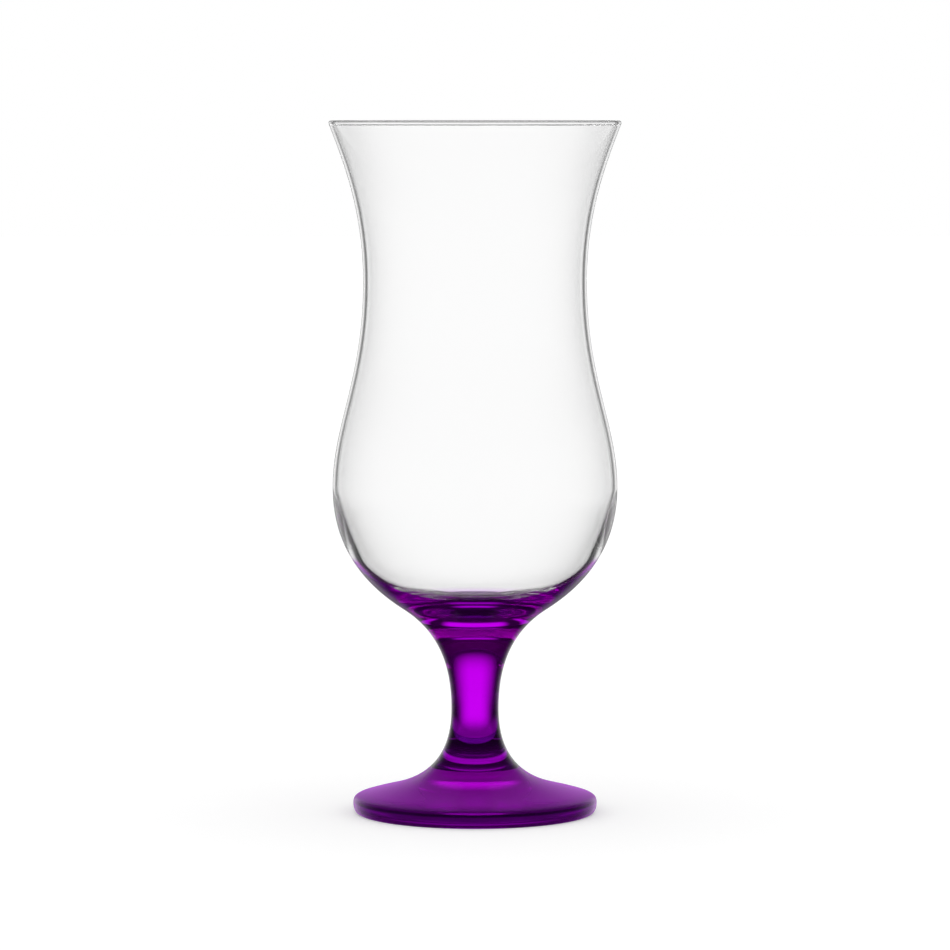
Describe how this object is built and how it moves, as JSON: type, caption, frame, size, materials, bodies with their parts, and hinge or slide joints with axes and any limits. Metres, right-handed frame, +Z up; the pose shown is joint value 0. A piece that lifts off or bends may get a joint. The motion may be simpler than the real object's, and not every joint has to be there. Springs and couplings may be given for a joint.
{
  "type": "hurricane glass",
  "caption": "Tall stemmed cocktail glass with a curved clear bowl, a flared lip and a pinched waist, on a solid violet stem and round foot.",
  "frame": {"origin": "centre of the foot's underside, on the plane that the glass stands on", "axes": "+Z up along the axis of the glass, from the foot to the lip"},
  "size_m": [0.082, 0.082, 0.195],
  "materials": {
    "foot_glass": "clear violet, polished",
    "stem_glass": "clear violet, polished",
    "bowl_glass": "clear colourless, polished"
  },
  "bodies": {
    "root": {"foot": "foot_glass", "stem": "stem_glass", "bowl": "bowl_glass"}
  },
  "joints": []
}
